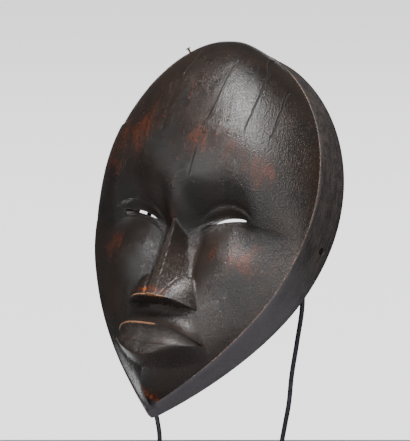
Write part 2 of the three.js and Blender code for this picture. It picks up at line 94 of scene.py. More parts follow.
EYE = Values(
    inner=17.4, inner_at=109.7, span=28, outer_rise=5.4, arch=8.4, lid=1,
    lid_inner_at=111, lid_rise=4.2, lid_arch=18.8, crease=0.8, cut_slope=0.38,
    surface_at=41, splay=0.3, cut_from=60, cut_to=20, slit_height=2, slit_end=0.12,
    upper_lid=(1.9, 1.4), lower_lid=(-2.1, 1.6), lid_crease=(4.6, 1.3),
)
NOSE = Values(
    ridge=51, tip_rise=0.9, tip_from=90, tip_at=64, root_at=112, facet_root=1.1, facet_tip=2.7,
    base=34, root_half=5.5, spread=10.5, spread_length=34, bow=50.5, bow_fall=13,
    bow_power=2.6, wing_across=15, wing_span=11, wing_rise=17, wing_half=24,
    wing_fall=6, wing_overhang=1.5, wing_drop=30, wing_blend=0.4, end_at=128, under_at=57,
    under_base=38.5, under_slope=7.7, blend=1.2, blend_from=58, blend_to=66,
)
MOUTH = Values(
    half=30, front=46.5, corner_fall=18, top_at=42, top_fall=3.5, line_at=30.3,
    line_rise=7.5, bottom_at=22, bottom_rise=14, ramp=11, ramp_power=2.2, scoop=2.6, scoop_power=0.8,
    face_lean=1.2, line_cut=1.4, line_cut_run=0.12, lower_fall=1.8, under_run=4, under_power=1.6, end=1.12,
)
HOLLOW = Values(
    wall=12, rim=12, beside_nose=60, end_power=6, end_ease=0.65, side_power=4.5,
    side_ease=0.7, eye_thinning=5.5, eye_across=31, eye_spread=15, eye_at=116,
    eye_rise=8, brow_above=5.5,
)
RIM_HOLE = Values(along=113, setback=7.5, diameter=4.7, depth=34, inward=9)
TACK = Values(below_crown=20, share=-0.535, sunk=0.8)
BAND_FLARE = 3.9
# Rings of the side band from the arris down, as a share of its height and of its flare
BAND_RINGS = (
    (0.012, 0.12), (0.04, 0.2), (0.2, 0.36), (0.4, 0.52), (0.6, 0.68), (0.8, 0.84), (0.97, 0.98), (1, 0.9),
)
# Rings of the flat rim, as a share of its width
RIM_RINGS = (0.5, 1)

# Tool marks, as length, width and seed
FACE_MARKS = (9, 5, 11)
HOLLOW_MARKS = (14, 6, 23)
BAND_MARKS = (16, 3, 31)

# Soft lights, as a direction to the right, up and back from the mask, a distance and a size in metres
LIGHTS = {
    "overhead": ((0.02, 0.88, 0.42), 1.3, (0.72, 0.42)),
    "window": ((-0.84, 0.32, 0.36), 1.3, (0.5, 0.5)),
    "fill": ((0.3, -0.16, 0.93), 1.3, (0.9, 0.7)),
    "front_lamp": ((-0.56, 0.08, 0.82), 1.35, (0.24, 0.14)),
}
# Aim of the camera, reach of the floor and curve of the backdrop, in metres and radians
STAGE = Values(
    aim_left=0.00258, aim_up=0.00317, floor_reach=3,
    sweep_turn=0.6, sweep_steps=48, sweep_spread=0.6, glow_height=0.3,
)


# Curves and blends on arrays

def smooth_step(start, end, value):
    """Rises smoothly from 0 at start to 1 at end."""
    t = np.clip((value - start) / (end - start), 0.0, 1.0)
    return t * t * (3.0 - 2.0 * t)


def bell(t):
    """A soft bump that is 1 at 0."""
    return np.exp(-t * t)


def blend_higher(a, b, softness):
    """The higher of two surfaces, with a soft valley where they meet."""
    return 0.5 * (a + b + np.hypot(a - b, softness))


def bezier(points, steps):
    """Points along a cubic curve."""
    t = np.linspace(0.0, 1.0, steps)[:, None]
    p = [np.array(point) for point in points]
    return (1 - t) ** 3 * p[0] + 3 * (1 - t) ** 2 * t * p[1] + 3 * (1 - t) * t ** 2 * p[2] + t ** 3 * p[3]


def outline_curve():
    """The front outline of one half, as across and along, from the chin to the crown."""
    o = OUTLINE
    wide = o.half_width
    at = o.widest_at
    top = MASK_LENGTH
    chin = bezier(((0, 0), (o.chin_across, o.chin_up), (wide, at - o.lower_pull), (wide, at)), 400)
    crown = bezier(((wide, at), (wide, at + o.upper_pull), (o.crown_pull, top), (0, top)), 400)
    return np.vstack([chin, crown[1:]])


OUTLINE_POINTS = outline_curve()


def half_width(z):
    """Half the width of the face at a height along the mask."""
    return np.interp(z, OUTLINE_POINTS[:, 1], OUTLINE_POINTS[:, 0])


def outline_normal(z):
    """Outward direction of the right half of the outline."""
    reach = 1.5
    lower = np.clip(z - reach, 0.0, MASK_LENGTH)
    upper = np.clip(z + reach, 0.0, MASK_LENGTH)
    slope = (half_width(upper) - half_width(lower)) / (upper - lower)
    length = np.hypot(1.0, slope)
    return 1.0 / length, -slope / length


def inset_outline():
    """The inner edge of the flat back rim."""
    across, along = outline_normal(OUTLINE_POINTS[:, 1])
    x = OUTLINE_POINTS[:, 0] - HOLLOW.rim * across
    z = OUTLINE_POINTS[:, 1] - HOLLOW.rim * along
    keep = [0]
    for i in range(1, len(x)):
        if x[i] > 0 and z[i] > z[keep[-1]]:
            keep.append(i)
    keep = [i for i in keep if x[i] > 0]
    return np.stack([x[keep], z[keep]], 1)


RIM_EDGE = inset_outline()
HOLLOW_FROM = RIM_EDGE[0, 1] - 1.0
HOLLOW_TO = MASK_LENGTH - HOLLOW.rim


def hollow_half_width(z):
    """Half the width of the hollow's mouth."""
    inside = (z > HOLLOW_FROM) & (z < HOLLOW_TO)
    return np.where(inside, np.interp(z, RIM_EDGE[:, 1], RIM_EDGE[:, 0]), 0.0)


# The carving, as heights above the back plane

def arris_height(z):
    """Height of the sharp front edge of the side band."""
    t = z / MASK_LENGTH
    chin = ARRIS.chin * (1 - t) * (1 - 2 * t)
    return chin + ARRIS.middle * 4 * t * (1 - t) + ARRIS.top * t * (2 * t - 1)


def end_bend(z):
    """Sideways bend of the outline, and of the face's highest line."""
    w = SWAY
    crown_part = np.clip((z - w.crown_from) / (MASK_LENGTH - w.crown_from), 0, 1)
    chin_part = np.clip((w.chin_from - z) / w.chin_from, 0, 1)
    crown = w.crown * crown_part ** w.crown_power
    chin = w.chin * chin_part ** w.chin_power
    return -crown - chin, -crown - chin * w.keel_share


def across_at(share, z):
    """Place across the face for a share of the way from its highest line to an edge."""
    edge, crest = end_bend(z)
    side = edge + np.sign(share) * half_width(z)
    return crest + np.abs(share) * (side - crest)


def share_at(x, z):
    """How far a place is from the highest line, as a share of the way to its edge."""
    edge, crest = end_bend(z)
    span = edge + np.where(x < crest, -1.0, 1.0) * half_width(z) - crest
    safe = np.where(np.abs(span) < 0.001, 1.0, span)
    return np.where(np.abs(span) < 0.001, 0.0, np.clip((x - crest) / safe, 0, 1))


def centre_height(z, across):
    """Height of the middle of the face, without nose and lips."""
    f = FOREHEAD
    low = LOWER_FACE
    chin = low.chin + low.rise * (1 - np.exp(-z / low.rise_length))
    lower = chin + low.cheek_rise * smooth_step(low.cheek_from, low.cheek_to, z)
    root = f.root_drop * bell(across / f.root_width) * smooth_step(f.fade_to, f.fade_from, z)
    crease = f.crease_at - root + f.eye_rise * bell((across - f.eye_across) / f.eye_spread)
    t = (z - crease) / (f.dome_at - crease)
    over = 1 - np.clip(1 - t, 0, 1) ** f.brow_power
    brow = f.brow_base + np.where(t < 0, t * f.crease_slope, (f.dome - f.brow_base) * over)
    fall = np.clip((z - f.dome_at) / (MASK_LENGTH - f.dome_at), 0, 1)
    crown = ARRIS.top + (f.dome - ARRIS.top) * (1 - fall ** f.crown_power) ** f.crown_fall
    soft = f.softness + f.temple_softness * smooth_step(f.temple_from, f.temple_to, across)
    bulge = f.bulge * bell((z - f.bulge_at) / f.bulge_length) * bell(across / f.bulge_across)
    return np.where(z > f.dome_at, crown, blend_higher(lower, brow + bulge, soft))


def face_base(x, z):
    """The face with its forehead, cheeks and keeled chin."""
    k = SECTION
    s = share_at(x, z)
    across = np.abs(x)
    at_dome = smooth_step(k.dome_from, k.dome_to, z)
    power = k.chin_power + (k.face_power - k.chin_power) * smooth_step(k.face_from, k.face_to, z)
    power = power + (k.dome_power - k.face_power) * at_dome
    ease = 1 + (k.dome_ease - 1) * at_dome
    edge = arris_height(z)
    body = edge + (centre_height(z, across) - edge) * (1 - s ** power) ** ease
    c = CHEEK
    beside = bell((across - c.across) / c.spread_across)
    groove = c.groove * bell((across - c.groove_across) / c.groove_width)
    groove = groove * smooth_step(*c.groove_top, z) * smooth_step(*c.groove_foot, z)
    return body + c.swell * beside * bell((z - c.along) / c.spread_along) * (1 - s ** 6) - groove


def eye_arc(across, start, rise, arch):
    """Height along the mask of a line that arches over the eye."""
    q = np.clip((across - EYE.inner) / EYE.span, -0.15, 1.15)
    return start + rise * q + arch * q * (1 - q)


def slit_line(across):
    """Height along the mask of the middle of the eye slit."""
    return eye_arc(across, EYE.inner_at, EYE.outer_rise, EYE.arch)


def lid_line(across):
    """Height along the mask of the upper lid."""
    return eye_arc(across, EYE.lid_inner_at, EYE.lid_rise, EYE.lid_arch)


def eye_lids(across, z):
    """The thin welts above and below the slit, and the crease over them."""
    q = (across - EYE.inner) / EYE.span
    within = smooth_step(-0.2, 0.1, q) * smooth_step(1.25, 0.9, q)
    welts = ((lid_line, EYE.upper_lid), (slit_line, EYE.lower_lid), (lid_line, EYE.lid_crease))
    upper, lower, crease = (bell((z - line(across) - off) / width) for line, (off, width) in welts)
    return within * (EYE.lid * (upper + lower) - EYE.crease * crease)


def nose_height(across, z):
    """The nose: a narrow ridge facet, flat sides, round wings and a flat underside."""
    n = NOSE
    ridge = n.ridge + n.tip_rise * smooth_step(n.tip_from, n.tip_at, z)
    facet = n.facet_root + (n.facet_tip - n.facet_root) * smooth_step(n.root_at, n.tip_at, z)
    half = n.root_half + n.spread * np.maximum(0, n.root_at - z) / n.spread_length
    side = ridge - np.maximum(0, across - facet) * (ridge - n.base) / (half - facet)
    off_wing = np.clip(1 - ((across - n.wing_across) / n.wing_span) ** 2, 0, 1)
    above = np.maximum(0, z - n.under_at - n.wing_overhang * off_wing)
    u = above / np.maximum(n.wing_rise * np.sqrt(off_wing), 0.5)
    bow = n.bow - n.bow_fall * (across / n.wing_half) ** n.bow_power
    wing = bow - n.wing_fall * u * u - n.wing_drop * np.maximum(0, u - 1)
    wing = np.where(across < n.wing_across, np.minimum(wing, ridge), wing)
    underside = n.under_base + (z - n.under_at) * n.under_slope
    form = np.minimum(blend_higher(side, wing, n.wing_blend), underside)
    return np.where((z < n.under_at) | (z > n.end_at), 0.0, form)


def lip_lines(across):
    """Heights along the mask of the upper lip's edge, the mouth line and the lower lip's underside."""
    m = MOUTH
    t = across / m.half
    top = m.top_at - m.top_fall * t ** 3
    line = m.line_at + m.line_rise * t ** 5
    bottom = m.bottom_at + m.bottom_rise * t ** 1.6
    return top, line, bottom


def lip_height(across, z, base):
    """The lips: a sharp upper edge, a scooped face under it and a rounded lower lip."""
    m = MOUTH
    t = across / m.half
    front = m.front - m.corner_fall * t ** 4
    top, line, bottom = lip_lines(across)
    over = base + (front - base) * np.clip(1 - (z - top) / m.ramp, 0, 1) ** m.ramp_power
    v = np.clip((z - line) / np.maximum(top - line, 0.001), 0, 1)
    face = front - m.scoop * np.sin(np.pi * v) ** m.scoop_power - m.face_lean * (1 - v)
    w = np.clip((z - bottom) / np.maximum(line - bottom, 0.001), 0, 1)
    lower = front - m.line_cut * bell((1 - w) / m.line_cut_run) - m.lower_fall * (1 - w) ** 2
    drop = np.maximum(0, front - m.lower_fall - base)
    under = base + drop * np.clip(1 - (bottom - z) / m.under_run, 0, 1) ** m.under_power
    lips = np.where(z >= top, over, np.where(z >= line, face, np.where(z >= bottom, lower, under)))
    return np.where((t > m.end) | (front <= base), base, lips)


def face_height(x, z):
    """Height of the carved face above the back plane."""
    across = np.abs(x)
    base = face_base(x, z) + eye_lids(across, z)
    softness = NOSE.blend * smooth_step(NOSE.blend_from, NOSE.blend_to, z)
    with_nose = blend_higher(base, nose_height(across, z), softness)
    return np.maximum(with_nose, lip_height(across, z, base))


def hollow_height(x, z):
    """Height of the hollow's ceiling above the back plane."""
    h = HOLLOW
    s = np.clip(np.abs(x - end_bend(z)[0]) / np.maximum(hollow_half_width(z), 0.001), 0, 1)
    end = np.clip(np.abs(2 * (z - HOLLOW_FROM) / (HOLLOW_TO - HOLLOW_FROM) - 1), 0, 1)
    beside = h.beside_nose
    middle = np.minimum(centre_height(z, beside), centre_height(z - h.brow_above, beside))
    depth = (middle - h.wall) * (1 - end ** h.end_power) ** h.end_ease
    eyes = bell((np.abs(x) - h.eye_across) / h.eye_spread) * bell((z - h.eye_at) / h.eye_rise)
    return depth * (1 - s ** h.side_power) ** h.side_ease + h.eye_thinning * eyes


# Seeded roughness of the carved surface

def lattice_noise(x, y, seed, size=64):
    """Smooth noise from -1 to 1 on a repeating lattice of one unit."""
    table = np.random.default_rng(seed).uniform(-1.0, 1.0, (size, size))
    xi = np.floor(x).astype(int)
    yi = np.floor(y).astype(int)
    fx = x - xi
    fy = y - yi
    fx = fx * fx * (3 - 2 * fx)
    fy = fy * fy * (3 - 2 * fy)
    x0, x1, y0, y1 = xi % size, (xi + 1) % size, yi % size, (yi + 1) % size
    low = table[x0, y0] * (1 - fx) + table[x1, y0] * fx
    high = table[x0, y1] * (1 - fx) + table[x1, y1] * fx
    return low * (1 - fy) + high * fy


def tool_marks(x, z, length, width, seed):
    """Shallow cuts of a blade that ran along the grain."""
    first = lattice_noise(x / width, z / length, seed)
    second = lattice_noise(x / width * 1.9 + 7.3, z / length * 1.7 + 2.1, seed + 1)
    return 0.7 * first + 0.3 * second


# Places on the mask and in the stand

def mask_matrix():
    """Turns mask places, as across, back and along in millimetres, into the stand's metres."""
    lean = Matrix.Rotation(-math.radians(MASK_LEAN), 4, "X")
    centre = Matrix.Translation((0, MASK_CENTRE_DEPTH, -MASK_LENGTH / 2))
    lift = Matrix.Translation((0, 0, MASK_CENTRE_HEIGHT))
    return Matrix.Scale(MM, 4) @ lift @ lean @ centre


def new_object(name, bm):
    """Puts a bmesh in a new object of its own."""
    mesh = bpy.data.meshes.new(name)
    bm.to_mesh(mesh)
    bm.free()
    made = bpy.data.objects.new(name, mesh)
    bpy.context.scene.collection.objects.link(made)
    return made


def settle(made, angle):
    """Bakes an object's modifiers, and shades it smooth with its sharp edges kept."""
    graph = bpy.context.evaluated_depsgraph_get()
    graph.update()
    mesh = bpy.data.meshes.new_from_object(made.evaluated_get(graph))
    made.modifiers.clear()
    old = made.data
    made.data = mesh
    bpy.data.meshes.remove(old)
    mesh.name = made.name
    mesh.shade_smooth()
    mesh.set_sharp_from_angle(angle=math.radians(angle))


def finish_piece(made, node, material):
    """Gives a piece its finish, puts it on the root body and hides the solid's part that it stands for."""
    made.data.materials.clear()
    made.data.materials.append(material)
    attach(made, "root")
    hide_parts(node)


def extrude_edges(bm, edges):
    """Extrudes a line of edges, and gives its new edges and vertices."""
    made = bmesh.ops.extrude_edge_only(bm, edges=edges)["geom"]
    new_edges = [part for part in made if isinstance(part, bmesh.types.BMEdge)]
    return new_edges, [part for part in made if isinstance(part, bmesh.types.BMVert)]


def close_skin(bm, distance):
    """Merges vertices closer than a distance, fills what is open and turns the faces outward."""
    bmesh.ops.remove_doubles(bm, verts=bm.verts, dist=distance)
    bmesh.ops.holes_fill(bm, edges=[edge for edge in bm.edges if edge.is_boundary], sides=0)
    bmesh.ops.recalc_face_normals(bm, faces=bm.faces)


# Node materials

class Flow:
    """A socket in an expression; each operator adds its Math node."""

    def __init__(self, finish, socket):
        self.finish = finish
        self.socket = socket

    def math(self, operation, *others):
        return self.finish.add("Math", {"operation": operation}, dict(enumerate((self, *others))))

    def __add__(self, other):
        return self.math("ADD", other)

    def __sub__(self, other):
        return self.math("SUBTRACT", other)

    def __mul__(self, other):
        return self.math("MULTIPLY", other)

    __radd__ = __add__
    __rmul__ = __mul__


class Finish:
    """A node material under construction."""

    def __init__(self, name):
        self.material = bpy.data.materials.new(name)
        self.material.use_nodes = True
        self.tree = self.material.node_tree
        self.tree.nodes.clear()
        self.shader = self.tree.nodes.new("ShaderNodeBsdfPrincipled")
        out = self.tree.nodes.new("ShaderNodeOutputMaterial")
        self.tree.links.new(self.shader.outputs["BSDF"], out.inputs["Surface"])

    def add(self, kind, settings=None, values=None, output=0):
        """Adds a shader node: its settings first, then the values or links of its sockets."""
        node = self.tree.nodes.new("ShaderNode" + kind)
        for key, value in (settings or {}).items():
            setattr(node, key, value)
        for key, value in (values or {}).items():
            self.put(node.inputs[key], value)
        return Flow(self, node.outputs[output])

    def put(self, socket, value):
        """Links or sets a socket; a colour gets its alpha."""
        if isinstance(value, Flow):
            self.tree.links.new(value.socket, socket)
        else:
            socket.default_value = (*value, 1.0) if isinstance(value, Color) else value

    def surface(self, **values):
        """Sets or links the shader's own sockets by name, with underscores for spaces."""
        for key, value in values.items():
            self.put(self.shader.inputs[key.replace("_", " ")], value)

    def place(self, turn=(0.0, 0.0, 0.0)):
        """The piece's own coordinates, turned."""
        where = self.add("TexCoord", output="Object")
        return self.add("Mapping", None, {"Vector": where, "Rotation": turn})

    def noise(self, where, scale, detail, roughness, distortion=0.0):
        values = {"Vector": where, "Scale": scale, "Detail": detail, "Roughness": roughness}
        return self.add("TexNoise", None, {**values, "Distortion": distortion})

    def attribute(self, name):
        return self.add("Attribute", {"attribute_name": name}, output="Fac")

    def between(self, value, low, high):
        """Runs smoothly from 0 to 1 as a value goes from low to high."""
        values = {"Value": value, "From Min": low, "From Max": high}
        return self.add("MapRange", {"interpolation_type": "SMOOTHSTEP"}, values)

    def mix(self, factor, first, second):
        """Mixes two colours."""
        return self.add("Mix", {"data_type": "RGBA"}, {0: factor, 6: first, 7: second}, output=2)

    def bump(self, height, strength, distance):
        values = {"Height": height, "Strength": strength, "Distance": distance}
        return self.add("Bump", None, values)


def wood_material(finish):
    """Dark handled patina on carved wood, rubbed through to red along the grain, with painted shade in the
    cracks, a painted highlight along one edge of each crack and painted bounce light on the band's lower
    part.
    """
    f = Finish("carved_wood")
    place = f.place(turn=(math.radians(MASK_LEAN), 0.0, 0.0))
    along = f.add("Mapping", None, {"Vector": place, "Scale": (1.0, 1.0, 0.08)})
    painted = ("worn", "crust", "band", "inside", "bare", "matt", "pale", "crack_side", "crack_reach")
    worn, crust, band, inside, bare, matt, pale, side, reach = (f.attribute(name) for name in painted)

    cloud = f.noise(place, 26.0, 4.0, 0.6)
    blotch = f.noise(place, 110.0, 5.0, 0.65, 0.5)
    fine = f.noise(place, 620.0, 3.0, 0.7)
    pit = f.noise(place, 1250.0, 2.0, 0.6)
    streak = f.noise(along, 340.0, 4.0, 0.65)
    grain = f.noise(along, 1100.0, 3.0, 0.6)

    tint = f.mix(f.between(cloud, 0.35, 0.68), finish.patina, finish.patina_brown)
    tint = f.mix(f.between(grain, 0.5, 0.7) * 0.5, tint, finish.grain_brown)
    pattern = 0.42 * streak + 0.33 * fine + 0.25 * blotch
    rubbed = pattern + 0.3 * worn
    red = f.between(rubbed, 0.58, 0.76)
    tint = f.mix(red * 0.85, tint, finish.worn_red)
    tint = f.mix(f.between(rubbed, 0.74, 0.86), tint, finish.worn_orange)
    specks = f.between(fine, 0.58, 0.72) * crust
    tint = f.mix(specks * 0.6, tint, finish.crust_brown_and_crack_highlight)
    streaks = f.between(0.6 * streak + 0.4 * blotch, 0.4, 0.62)
    slope = f.mix(streaks, finish.band_dark, finish.band_grey)
    # Painted bounce light: the band's lower part is coloured lighter, bluish grey, as if lit from the floor
    slope = f.mix(pale * (0.55 + 0.5 * blotch), slope, finish.band_painted_bounce)
    tint = f.mix(band, tint, slope)
    raw = f.mix(f.between(grain, 0.3, 0.8), finish.hollow_dark, finish.hollow_brown)
    tint = f.mix(inside, tint, raw)
    tint = f.mix(f.between(bare * (0.4 + 1.2 * fine), 0.42, 0.7), tint, finish.bare_wood)
    crack = f.between(side.math("ABSOLUTE"), 0.55, 0.22) * reach
    # Painted highlight: a lighter line along one edge of each crack
    lip = f.between(side, 0.3, 0.5) * f.between(side, 0.95, 0.65) * reach
    tint = f.mix(lip * 0.35, tint, finish.crust_brown_and_crack_highlight)
    # Painted shade: the cracks are coloured near black
    tint = f.mix(crack, tint, finish.crack_painted_shade)

    rough = 0.1 + 0.2 * blotch + 0.4 * crust * fine + 0.45 * band - 0.2 * pale + 0.4 * inside + 0.3 * crack
    rough = rough + 0.04 * matt + 0.08 * red
    height = 0.55 * pit + 0.5 * fine * (0.3 + crust) + 0.4 * grain * (0.4 + band) + 0.3 * streak - 2.0 * crack
    f.surface(Base_Color=tint, Roughness=rough, Normal=f.bump(height, 0.9, 0.0007))
    return f.material


def steel_material(finish):
    """Blackened steel with a faint cold sheen."""
    f = Finish("blackened_steel")
    place = f.place()
    mottle = f.noise(place, 160.0, 4.0, 0.6)
    fine = f.noise(place, 1400.0, 2.0, 0.5)
    tint = f.mix(f.between(mottle, 0.35, 0.7), finish.steel_dark, finish.steel_sheen)
    rough = 0.34 + 0.2 * mottle
    f.surface(Base_Color=tint, Roughness=rough, Metallic=0.35, Normal=f.bump(fine, 0.15, 0.0002))
    return f.material


def iron_material(finish):
    """Old iron of the tack."""
    f = Finish("tack_iron")
    rust = f.noise(f.place(), 1200.0, 4.0, 0.7)
    tint = f.mix(f.between(rust, 0.4, 0.65), finish.iron_grey, finish.iron_rust)
    f.surface(Base_Color=tint, Roughness=0.5 + 0.3 * rust, Metallic=0.6, Normal=f.bump(rust, 0.4, 0.0003))
    return f.material


# Property groups

def number_property(name, description, default, kind=FloatProperty, **more):
    return kind(name=name, description=description, default=default, **more)


def size_property(name, description, metres):
    return number_property(name, description, metres, subtype="DISTANCE", unit="LENGTH")


def angle_property(name, description, degrees):
    return number_property(name, description, math.radians(degrees), subtype="ANGLE")


def tint_property(name, description, tint):
    return number_property(name, description, tint, FloatVectorProperty, subtype="COLOR", min=0.0, max=1.0)


class MaskCarving(bpy.types.PropertyGroup):
    """Fineness of the carved surface and depth of its marks."""
    rows: number_property("Rows", "Rows of the carved face from chin to crown", 280, IntProperty)
    columns: number_property("Columns", "Columns of the carved face", 250, IntProperty)
    hollow_columns: number_property("Hollow columns", "Columns of the hollow", 44, IntProperty)
    face_marks: size_property("Face marks", "Depth of the smoothed tool marks on the face", 0.00017)
    hollow_marks: size_property("Hollow marks", "Depth of the gouge marks in the hollow", 0.0005)
    band_marks: size_property("Band marks", "Unevenness of the side band", 0.0004)


class MaskFinish(bpy.types.PropertyGroup):
    """Colours of the wood, the steel and the iron."""
    patina: tint_property("Patina", "Darkest colour of the face", (0.007, 0.006, 0.0056))
    patina_brown: tint_property("Brown patina", "Lighter patches of the face", (0.018, 0.011, 0.008))
    grain_brown: tint_property("Grain", "Lighter lines along the grain", (0.03, 0.018, 0.012))
    worn_red: tint_property("Worn red", "Where the patina is rubbed thin", (0.055, 0.012, 0.004))
    worn_orange: tint_property("Worn orange", "Where the wood shows through", (0.2, 0.05, 0.01))
    # Used for the crust's light specks and for a painted highlight along one edge of each crack
    crust_brown_and_crack_highlight: tint_property("Crust", "Light specks in the crust", (0.085, 0.058, 0.04))
    band_dark: tint_property("Dark band", "Darker streaks of the side band", (0.009, 0.0075, 0.007))
    band_grey: tint_property("Grey band", "Lighter streaks of the side band", (0.034, 0.025, 0.022))
    # The band's lower part is painted lighter in this colour: painted bounce light from the floor
    band_painted_bounce: tint_property("Pale band", "Bluish grey of the band's lower part", (0.075, 0.068, 0.078))
    hollow_dark: tint_property("Dark hollow", "Darker wood inside", (0.03, 0.018, 0.011))
    hollow_brown: tint_property("Brown hollow", "Lighter wood inside", (0.085, 0.05, 0.03))
    bare_wood: tint_property("Bare wood", "Wood at chips and broken edges", (0.3, 0.15, 0.08))
    # The near-black in the cracks is painted shade
    crack_painted_shade: tint_property("Crack", "Dirt in the cracks", (0.003, 0.002, 0.002))
    steel_dark: tint_property("Steel", "Dark parts of the steel", (0.012, 0.011, 0.016))
    steel_sheen: tint_property("Steel sheen", "Lighter parts of the steel", (0.03, 0.026, 0.04))
    iron_grey: tint_property("Iron", "Grey of the tack", (0.12, 0.11, 0.09))
    iron_rust: tint_property("Rust", "Rust on the tack", (0.09, 0.045, 0.02))


class StandSizes(bpy.types.PropertyGroup):
    """Sizes of the stand and the tack."""
    rod: size_property("Rod", "Thickness of the bent rod", 2 * ROD.radius * MM)
    tack_head: size_property("Tack head", "Width of the tack's head", 0.0032)
    tack_shank: size_property("Tack shank", "Width of the tack's shank", 0.0014)
    tack_height: size_property("Tack height", "How far the tack stands out", 0.0032)


class StageLook(bpy.types.PropertyGroup):
    """Camera, floor and lights."""
    azimuth: angle_property("Azimuth", "Turn of the camera to the right of the face", 34.71)
    elevation: angle_property("Elevation", "Height of the camera as an angle", 7.99)
    distance: size_property("Distance", "From the camera to the middle of the mask", 1.5)
    lens: number_property("Lens", "Focal length in millimetres", 196.8)
    floor: tint_property("Floor", "Colour of the floor under the stand", (0.2, 0.2, 0.205))
    backdrop_low: tint_property("Backdrop below", "Glow of the backdrop near the floor", (0.85, 0.85, 0.86))
    backdrop_high: tint_property("Backdrop above", "Glow of the backdrop higher up", (0.56, 0.56, 0.57))
    sweep_start: size_property("Sweep start", "How far behind the mask the backdrop starts to rise", 0.165)
    sweep_radius: size_property("Sweep radius", "Radius of the backdrop's curve", 2.9)
    sweep_width: size_property("Sweep width", "Width of the backdrop where it starts", 0.3)
    backdrop_glow: number_property("Backdrop glow", "Strength of the backdrop's glow", 2.6)
    overhead: number_property("Overhead light", "Power of the main soft light", 40.0)
    window: number_property("Window light", "Power of the soft light at the left", 2.2)
    fill: number_property("Fill light", "Power of the broad light in front", 12.0)
    front_lamp: number_property("Front lamp", "Power of the small light by the camera", 8.5)
    room: number_property("Room light", "Strength of the even light", 0.1)


# The mask

ROW_RUNS = (
    (0.0, 18.0, 24), (18.0, 46.0, 50), (46.0, 56.5, 12), (56.5, 59.5, 10), (59.5, 78.0, 26),
    (78.0, 104.0, 28), (104.0, 125.0, 36), (125.0, MASK_LENGTH, 94),
)


def row_places():
    """Heights along the mask of the rows, close together where lips, nose and eyes are."""
    places = []
    for low, high, count in ROW_RUNS:
        t = np.arange(count) / count
        if high == MASK_LENGTH:
            t = 1 - (1 - t) ** 1.6
        places.extend(low + (high - low) * t)
    return np.array([*places, MASK_LENGTH])


ROW_HEIGHTS = row_places()


def row_height(v):
    """Height along the mask of a row, from its share of all rows."""
    return np.interp(v, np.linspace(0, 1, len(ROW_HEIGHTS)), ROW_HEIGHTS)


def hollow_row(z):
    """A row's height along the mask, drawn in to the hollow's length."""
    return HOLLOW_FROM + (HOLLOW_TO - HOLLOW_FROM) * z / MASK_LENGTH


def lips_shift(x, z):
    """Moves rows so that they run along the edges of the lips."""
    m = MOUTH
    across = np.abs(x)
    top, line, bottom = lip_lines(np.minimum(across, m.half))
    rows = (12.0, m.bottom_at, m.line_at, m.top_at, 55.0)
    shifts = (0 * across, bottom - m.bottom_at, line - m.line_at, top - m.top_at, 0 * across)
    moved = np.zeros_like(z)
    for low, high, first, last in zip(rows, rows[1:], shifts, shifts[1:]):
        t = np.clip((z - low) / (high - low), 0, 1)
        moved = np.where((z >= low) & (z < high), first * (1 - t) + last * t, moved)
    return moved * smooth_step(48, 30, across)


def grid_places(verts):
    """Across from -1 to 1 and row from 0 to 1 of a new grid's vertices, and which are on its edge."""
    flat = np.array([vert.co[:2] for vert in verts])
    u, v = (flat / np.abs(flat).max(axis=0)).T
    v = v * 0.5 + 0.5
    return u, v, (np.abs(u) > 0.9999) | (v <= 0) | (v >= 1)


def move_all(verts, x, height, z):
    for vert, across, up, along in zip(verts, x, height, z):
        vert.co = (across, -up, along)


def mask_mesh(carving):
    """The mask in its own millimetres: face, band, rim and hollow in one closed skin."""
    bm = bmesh.new()
    layers = [bm.verts.layers.float.new(name) for name in ("row", "side")]
    face = bmesh.ops.create_grid(bm, x_segments=carving.columns, y_segments=carving.rows, size=1.0)["verts"]
    u, v, edge = grid_places(face)
    for vert, *values in zip(face, v, u):
        for layer, value in zip(layers, values):
            vert[layer] = value
    z = row_height(v)
    share = np.sign(u) * np.abs(u) ** 1.15
    z = z + lips_shift(across_at(share, z), z) * (1 - np.abs(u) ** 8)
    x = across_at(share, z)
    marks = carving.face_marks / MM * tool_marks(x, z, *FACE_MARKS)
    move_all(face, x, np.where(edge, arris_height(z), face_height(x, z) + marks), z)

    loop = [e for e in bm.edges if e.is_boundary]
    for down, out in BAND_RINGS:
        loop, verts = extrude_edges(bm, loop)
        move_all(verts, *band_ring(ring_values(verts, layers), carving, down, out))
    for share_in in RIM_RINGS:
        loop, verts = extrude_edges(bm, loop)
        move_all(verts, *rim_ring(ring_values(verts, layers), share_in))

    columns = carving.hollow_columns
    hollow = bmesh.ops.create_grid(bm, x_segments=columns, y_segments=carving.rows, size=1.0)["verts"]
    u, v, edge = grid_places(hollow)
    z = hollow_row(row_height(v))
    x = end_bend(z)[0] + np.sin(u * math.pi / 2) * hollow_half_width(z)
    gouge = carving.hollow_marks / MM * tool_marks(x, z, *HOLLOW_MARKS)
    ceiling = hollow_height(x, z)
    move_all(hollow, x, np.where(edge, 0.0, ceiling + gouge * np.clip(ceiling / 10.0, 0, 1)), z)
    close_skin(bm, 0.0005)
    return bm


def ring_values(verts, layers):
    """Side, height along the mask and outward direction of a ring's vertices."""
    v, share = np.array([[vert[layer] for layer in layers] for vert in verts]).T
    side = np.sign(share)
    z = row_height(v)
    across, along = outline_normal(z)
    across = np.where((v <= 0) | (v >= 1), 0.0, across) * side
    return side, z, across, np.where(v <= 0, -1.0, np.where(v >= 1, 1.0, along))


def band_ring(ring, carving, down, out):
    """Places of one ring of the side band."""
    side, z, across, along = ring
    uneven = carving.band_marks / MM * tool_marks(side * 40 + down * 6, z, *BAND_MARKS)
    flare = BAND_FLARE * out + uneven * math.sin(math.pi * down)
    x = end_bend(z)[0] + side * half_width(z) + flare * across
    return x, arris_height(z) * (1 - down), z + flare * along


